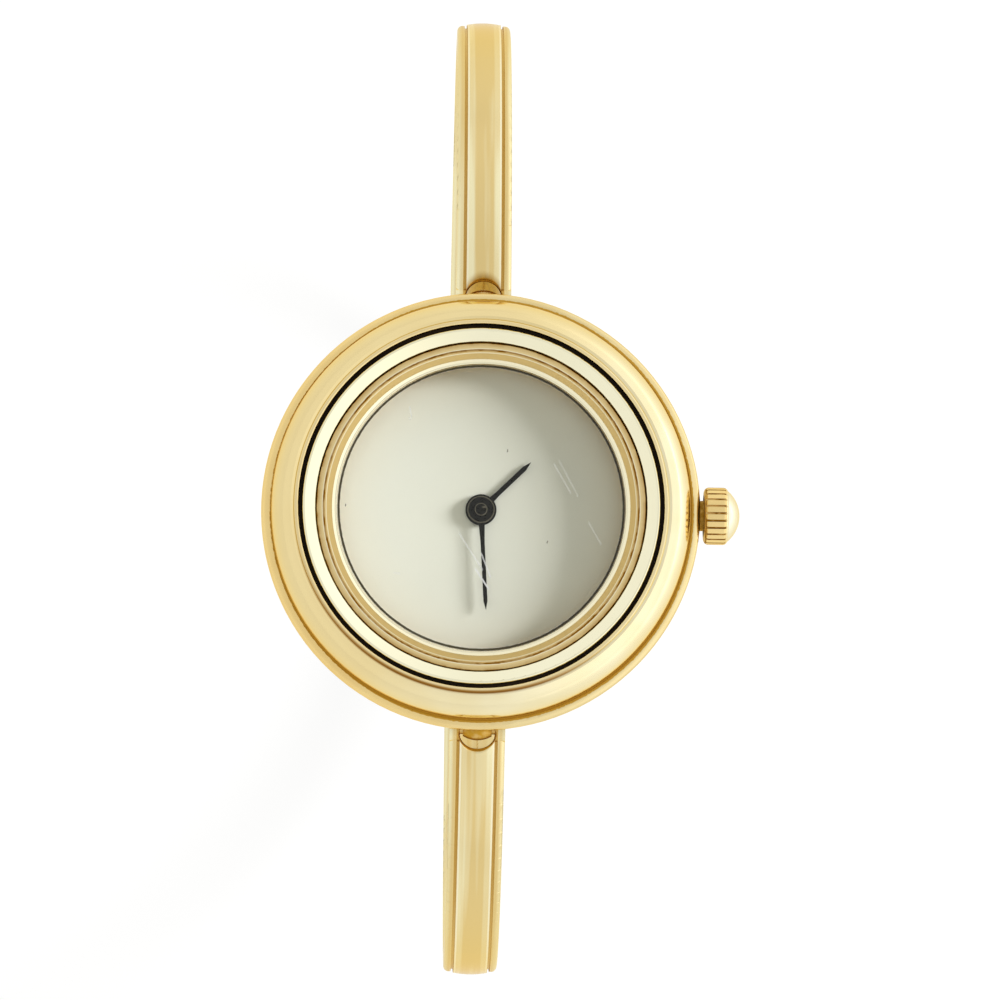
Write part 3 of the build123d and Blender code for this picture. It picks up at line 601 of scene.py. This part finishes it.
# Bezel ring, seal and retaining ring: the wide changeable ring is clamped by the polished
# inner ring, which screws down over the neck, and a black seal fills the gap between them.

ring_foot = (3.66, 3.54)
foot_raggedness = 0.15
foot_creep = 0.12
foot_turn = (-10.0, 8.0)
foot_strength = (0.25, 0.92)
foot_top = (4.4, 4.6)
valley_reach = (10.99, 11.05)
valley_fade = 0.13
valley_slant = 0.35
valley_lower = (-4.0, -10.5)
valley_left = (-12.0, -4.0)
valley_left_strength = (0.6, 1.0)
valley_strength = (0.03, 0.93)
lit_side_slant = 0.5
lit_side_turn = (-4.0, 9.0)
inner_lip = (11.00, 10.94)
inner_lip_gold = (0.95, 0.77, 0.42)
# The retaining ring's pale champagne is a painted highlight, deeper at the upper left as painted
# shade
champagne_turn = (10.5, 13.5)
champagne_light = (0.985, 0.945, 0.70)
champagne_shade = (0.89, 0.84, 0.58)
champagne_deep = (0.93, 0.88, 0.62)
crest_middle = 10.41
crest_round_share = 8.333
crest_slope = -0.588
crest_height = (5.74, 5.78)
steepest = 0.999


def ring_grime_and_shade(place):
    """Soiling and painted shade at the wide ring's foot, and a soft brown shade painted in the
    valley outside its lip.
    """
    ragged = place.part("Z") - place.noise(edge_noise) * foot_raggedness
    ragged = ragged - lower_right(place) * foot_creep
    foot = ragged.step(*ring_foot) * place.part("X").step(*foot_turn).between(*foot_strength)
    lower = (place.part("X") * valley_slant + place.part("Y")).step(*valley_lower)
    left = place.part("X").step(*valley_left).between(*valley_left_strength)
    valley = place.radius().band(*valley_reach, valley_fade)
    return foot.larger(valley * (lower * left).between(*valley_strength))


def lit_side(place):
    """0 on the far side and 1 on the lower right, where the wide ring is painted paler as lit."""
    return (place.part("X") - place.part("Y") * lit_side_slant).step(*lit_side_turn)


def ring_light(place):
    """Paler on the lit side, a painted highlight, and warmer on the inner lip."""
    polished_and_highlit = lit_side(place).blended((0.89, 0.74, 0.385), (0.95, 0.88, 0.62))
    return place.radius().step(*inner_lip).blended(polished_and_highlit, inner_lip_gold)


def ring_deep(place):
    return lit_side(place).blended((0.86, 0.69, 0.335), (0.87, 0.75, 0.42))


def upper_left_shade(place):
    """Pale champagne, a painted highlight, a little deeper at the upper left as painted shade."""
    upper_left = (place.part("Y") - place.part("X")).step(*champagne_turn)
    return upper_left.blended(champagne_light, champagne_shade)


def crest_round(place):
    """The small round at the retaining ring's crest, outside its slope."""
    lean = ((place.radius() - crest_middle) * crest_round_share).held(crest_slope, steepest)
    outward = place.vector("NORMALIZE", place.stretched(1, 1, 0))
    up = place.node("ShaderNodeCombineXYZ", None, {"Z": 1.0})
    return place.rounded(outward.scaled(lean), up, place.part("Z").step(*crest_height))


dress(gold("ring_gold", 0.12, light=ring_light, deep=ring_deep, grime_and_shade_mask=ring_grime_and_shade,
           grime_and_shade_colour=fading("Z", foot_top, warm_grime_and_shade, deep_grime_and_shade)), "bezel_ring")
dress(gold("bright_gold", 0.06, 0.3, light=upper_left_shade, deep=champagne_deep,
           shape=crest_round), "retaining_ring")
dress(seal_rubber, "bezel_seal")


# Crown and its tube: the crown is turned, fluted and domed, screwed on the stem, and runs on
# the tube with a rubber gasket in its bore. Its flutes are painted brown as grime and shade, and
# its inner end and the tube as shade.

crown_middle = (0, 0, 2.1)
flutes_along = (13.30, 14.50)
flute_fade = 0.03
flute_floor = (1.685, 1.635)
flute_patches = (1.5, (0.35, 0.6), (0.45, 1.0))
inner_end = (13.32, 13.20)
inner_end_strength = 0.6
tube_patches = (3.0, (0.3, 0.7), (0.60, 0.95))
tube_light = (1.0, 0.80, 0.34)
tube_deep = (0.95, 0.68, 0.22)

# The lands between the flutes are deeper than the dome
dome_foot = (14.50, 14.66)
crown_light = fading("X", dome_foot, (0.94, 0.75, 0.35), (0.91, 0.86, 0.64))
crown_deep = fading("X", dome_foot, (0.91, 0.65, 0.25), (0.89, 0.82, 0.57))


def flute_grime_and_shade(place):
    """Soiling and painted shade down in the flutes, and painted shade on the crown's inner end."""
    reach = place.vector("SUBTRACT", place, crown_middle).stretched(0, 1, 1).length()
    barrel = place.part("X").band(*flutes_along, flute_fade) * place.patches(*flute_patches)
    end = place.part("X").step(*inner_end) * inner_end_strength
    return (reach.step(*flute_floor) * barrel).larger(end)


# Painted shade: the tube is brown where it lies in shadow between case and crown
def tube_shade(place):
    return place.patches(*tube_patches)


dress(gold("crown_gold", 0.16, light=crown_light, deep=crown_deep, grime_and_shade_mask=flute_grime_and_shade), "crown")
dress(gold("tube_gold", 0.45, light=tube_light, deep=tube_deep, grime_and_shade_mask=tube_shade,
           grime_and_shade_colour=warm_grime_and_shade), "crown_tube")
dress(seal_rubber, "crown_gasket")


# Bangle arms: drawn bar with a crowned panel between two rails, bent, scooped at the hinge
# and plated. Streaks run along the bar as the drawing die left them. The rails, the panel's
# middle and edges and stripes along the bar are painted paler as highlights and reflections, the
# two grooves are painted brown as grime and shade, and the scoops are painted with shade.

drawn_tan = (0.785, 0.60, 0.26)
drawn_pale = (0.93, 0.85, 0.53)
drawn_haze = (0.14, 0.26)
drawn_clouds = 0.3
cloud_share = 0.2
die_streaks = ((7, 0.12, 0.12), 2.0, 3.0)
streak_depth = 0.0025
reflection_stripes = ((1.2, 0.04, 0.04), 1.0)
stripe_edge = (0.44, 0.62)
stripe_share = 0.6
bangle_middle = (0, 7, -23)
outer_face = (-0.35, -0.15)
groove_edges = (1.04, 1.215)
groove_fade = 0.03
groove_wander = (3.0, 0.02)
groove_rise = (-16.0, -2.0)
groove_grime_and_shade_strength = (0.50, 0.85)
groove_brown = (0.60, 0.35, 0.06)
groove_haze = 0.25
panel_edge = (0.93, 1.03)
edge_gold = (0.97, 0.89, 0.62)
panel_highlight = (0.66, 0.88)
highlight_fade = 0.15
highlight_share = 0.5
rail_side = (1.30, 1.60)
side_share = 0.8
rail_round = (1.28, 1.646)
rail_fade = 0.003
rail_round_start = 1.33
rail_round_share = 3.125
rail_haze = 0.10
rail_smooth_from = (2.9, 3.0)
scoop_reach = 1.30
scoop_spread = 0.22
scoop_side = (1.15, 1.0)
scoop_scuffs = ((5, 1, 1), 1.6)
scoop_scuff_edge = (0.35, 0.65)
scoop_brown = (0.46, 0.24, 0.025)
scoop_dark = (0.34, 0.175, 0.022)


def outer_side(place):
    """1 on the bar's outer side, 0 on the side towards the wrist."""
    normal = place.node("ShaderNodeTexCoord", output="Normal")
    spoke = place.vector("NORMALIZE", place.vector("SUBTRACT", place, bangle_middle))
    return place.vector("DOT_PRODUCT", normal, spoke, output=1).step(*outer_face)


def rail_rounds(place, across, rail):
    """The small rounds on the rails' outer corners."""
    lean = ((across - rail_round_start) * rail_round_share).held(0.0, steepest)
    side = place.maths("SIGN", place.part("X"))
    sideways = place.node("ShaderNodeCombineXYZ", None, {"X": lean * side})
    facet = place.node("ShaderNodeNewGeometry", output="True Normal")
    upright = facet.vector("NORMALIZE", facet.stretched(0, 1, 1))
    return place.rounded(sideways, upright, rail)


def drawn_gold(name, hinge=None, scoop_fade=0.0, scoop_shade_strength=0.0):
    """Gold on drawn bar: die streaks, painted highlights and reflection stripes, brown grooves of
    soiling and painted shade, and a scoop painted with shade.
    """
    material, place = new_finish(name)
    across = place.part("X").size()
    ragged = across + place.wander(*groove_wander)
    outer = outer_side(place)
    streaks = place.streaks(*die_streaks)
    stripes = place.streaks(*reflection_stripes).step(*stripe_edge)

    # Painted highlights: the panel's middle, the rails and stripes along the bar are painted paler
    highlights = across.band(*panel_highlight, highlight_fade) * highlight_share
    highlights = highlights + across.step(*rail_side) * side_share
    highlights = highlights + stripes * stripe_share - place.noise(drawn_clouds) * cloud_share
    bare = highlights.blended(drawn_tan, drawn_pale)
    # Painted highlight along the panel's edges
    polished_and_highlit = (ragged.band(*panel_edge, edge_fade) * outer).blended(bare, edge_gold)
    strength = place.part("Z").step(*groove_rise).between(*groove_grime_and_shade_strength)
    grime_and_shade = ragged.band(*groove_edges, groove_fade) * outer * strength
    colour = grime_and_shade.blended(polished_and_highlit, groove_brown)
    rail = across.band(*rail_round, rail_fade)
    # The scoop is painted brown as its shade, broken up by scuffs
    if hinge:
        near = place.distance(hinge) + across * across * scoop_spread
        scooped = near.step(scoop_reach + scoop_fade, scoop_reach) * across.step(*scoop_side)
        scuffs = place.streaks(*scoop_scuffs).step(*scoop_scuff_edge)
        colour = (scooped * scoop_shade_strength).blended(colour, scuffs.blended(scoop_dark, scoop_brown))
        rail = rail * near.step(*rail_smooth_from)
    haze = streaks.between(*drawn_haze) + grime_and_shade * groove_haze + rail * rail_haze
    return surfaced(material, place, colour, haze, streaks, streak_depth,
                    rail_rounds(place, across, rail), Metallic=1.0, Specular_Tint=gold_edge)


dress(drawn_gold("upper_arm_gold", upper_hinge, scoop_fade=0.60, scoop_shade_strength=0.92), "upper_arm")
dress(drawn_gold("lower_arm_gold", lower_hinge, scoop_fade=0.12, scoop_shade_strength=0.25), "lower_arm")


# Clasp link and pins: the link is the same bar, curved, with a knuckle and a hook. Three pins
# and the catch bar are plated rod, and the lower hinge pin is painted with shade like its knuckle.

pin_clouds = 3.0
pin_shade_range = (0.3, 0.7)


def pin_shade(place):
    return place.noise(pin_clouds).between(*pin_shade_range)


dress(drawn_gold("link_gold"), "clasp_link")
dress(gold("pin_gold", 0.16), "upper_hinge_pin", "clasp_pin", "catch_bar")
dress(gold("shaded_pin_gold", 0.20, grime_and_shade_mask=pin_shade, grime_and_shade_colour=warm_grime_and_shade), "lower_hinge_pin")


# Studio: a white floor under the clasp, a light tent that is brightest low down and towards
# the lower right, and one soft lamp on the crown's side that lights what isn't metal.

# The floor's sizes and places, in metres
floor_gap = 0.0005
floor_half = 0.9
floor_height = cad_box[0].z - floor_gap
bright_side_reach = (0.02, 0.35)
bright_side_gain = 0.38
mirrored_loss = 0.08
paper_grey = (0.9, 0.9, 0.9, 1.0)
paper_share = 0.9
white = (1, 1, 1, 1)


def seen_directly(start):
    """1 for what the camera sees itself or through glass."""
    ray = "ShaderNodeLightPath"
    return start.node(ray, output="Is Camera Ray") + start.node(ray, output="Is Transmission Ray")


def floor_paper():
    """White paper that glows for the eye and for mirrors, and still takes the shadow."""
    material = bpy.data.materials.new("floor_paper")
    material.use_nodes = True
    material.node_tree.nodes.clear()
    start = Wire(material.node_tree)
    seen = seen_directly(start)
    mirrored = start.node("ShaderNodeLightPath", output="Is Glossy Ray")
    place = start.node("ShaderNodeTexCoord", output="Object")
    bright_side = place.part("X").step(*bright_side_reach)
    paper = start.node("ShaderNodeBsdfDiffuse", None, {"Color": paper_grey})
    level = 1.0 + mirrored * (bright_side * bright_side_gain - mirrored_loss)
    glow = start.node("ShaderNodeEmission", None, {"Color": white, "Strength": level})
    sockets = {0: (seen + mirrored) * paper_share, 1: paper, 2: glow}
    mixed = start.node("ShaderNodeMixShader", None, sockets)
    start.node("ShaderNodeOutputMaterial", None, {"Surface": mixed})
    return material


floor_mesh = bpy.data.meshes.new("floor")
corners = [(-1, -1), (1, -1), (1, 1), (-1, 1)]
points = [(x * floor_half, y * floor_half, floor_height) for x, y in corners]
floor_mesh.from_pydata(points, [], [(0, 1, 2, 3)])
floor_mesh.materials.append(floor_paper())
floor = bpy.data.objects.new("floor", floor_mesh)
bpy.context.scene.collection.objects.link(floor)

# The tent's levels, from the horizon (0.5) to straight overhead (1)
tent_levels = [(0.50, 0.95), (0.60, 0.95), (0.75, 0.88), (0.86, 0.84), (1.00, 0.80)]
crown_side_reach = (0.0, 0.9)
crown_side_gain = 0.23
softbox_direction = (0.62, -0.50, 0.60)
softbox_reach = (0.70, 0.96)
softbox_gain = 0.12
paint_light = (1, 0.98, 0.84, 1)
paint_level = 0.5

world = bpy.data.worlds.new("studio")
bpy.context.scene.world = world
world.use_nodes = True
world.node_tree.nodes.clear()
sky = Wire(world.node_tree)
mirrored = sky.node("ShaderNodeLightPath", output="Is Glossy Ray")
direction = sky.node("ShaderNodeTexCoord", output="Generated")
height = direction.part("Z") * 0.5 + 0.5
tent = sky.node("ShaderNodeValToRGB", {"stops": tent_levels}, {0: height})
towards = direction.vector("DOT_PRODUCT", direction, softbox_direction, output=1)
lit = tent.part("X") + direction.part("X").step(*crown_side_reach) * crown_side_gain
lit = lit + towards.step(*softbox_reach) * softbox_gain
for_metal = sky.node("ShaderNodeBackground", None, {"Color": white, "Strength": lit})
for_paint = sky.node("ShaderNodeBackground", None, {"Color": paint_light, "Strength": paint_level})
for_eye = sky.node("ShaderNodeBackground", None, {"Color": white, "Strength": 1.0})
shown = sky.node("ShaderNodeMixShader", None, {0: mirrored, 1: for_paint, 2: for_metal})
shown = sky.node("ShaderNodeMixShader", None, {0: seen_directly(sky), 1: shown, 2: for_eye})
sky.node("ShaderNodeOutputWorld", None, {"Surface": shown})

# The lamp's place and size, in metres, and its power in watts
lamp_place = (0.45, 0.11, 0.150)
lamp_size = 0.16
lamp_power = 7.7

lamp_data = bpy.data.lights.new("soft_lamp", "AREA")
lamp_data.shape = "RECTANGLE"
lamp_data.size = lamp_size
lamp_data.size_y = lamp_size
lamp_data.energy = lamp_power
lamp = bpy.data.objects.new("soft_lamp", lamp_data)
lamp.location = lamp_place
lamp.rotation_euler = (-Vector(lamp_place)).to_track_quat("-Z", "Y").to_euler()
lamp.visible_glossy = False
bpy.context.scene.collection.objects.link(lamp)

# The camera's place: where the photograph was taken from, in millimetres and degrees
lens_distance = 420.0
lens_pitch = 6.3
lens_yaw = 0.8
lens_roll = 0.8
case_plane = 3.0
millimetre_pixels = 16.9
case_pixel = (480.8, 511.0)
picture_pixels = 1000
sensor_width = 36.0

# The nearest and farthest things that the camera sees, in metres
nearest_seen = 0.01
farthest_seen = 10.0

pitch = radians(lens_pitch)
yaw = radians(lens_yaw)
back = Vector((-sin(yaw) * cos(pitch), -sin(pitch), cos(yaw) * cos(pitch)))
level_up = (Vector((0, 1, 0)) - back * back.y).normalized()
up = Matrix.Rotation(radians(lens_roll), 3, back) @ level_up
right = up.cross(back)
middle = picture_pixels / 2
aim = Vector((0, 0, case_plane))
aim += right * ((middle - case_pixel[0]) / millimetre_pixels)
aim += up * ((case_pixel[1] - middle) / millimetre_pixels)
camera_data = bpy.data.cameras.new("camera")
camera_data.sensor_width = sensor_width
camera_data.lens = sensor_width * millimetre_pixels * lens_distance / picture_pixels
camera_data.clip_start = nearest_seen
camera_data.clip_end = farthest_seen
camera = bpy.data.objects.new("camera", camera_data)
turn = Matrix((right, up, back)).transposed().to_4x4()
camera.matrix_world = Matrix.Translation((aim + back * lens_distance) / 1000) @ turn
bpy.context.scene.collection.objects.link(camera)
bpy.context.scene.camera = camera
bpy.context.scene.view_settings.view_transform = "Standard"
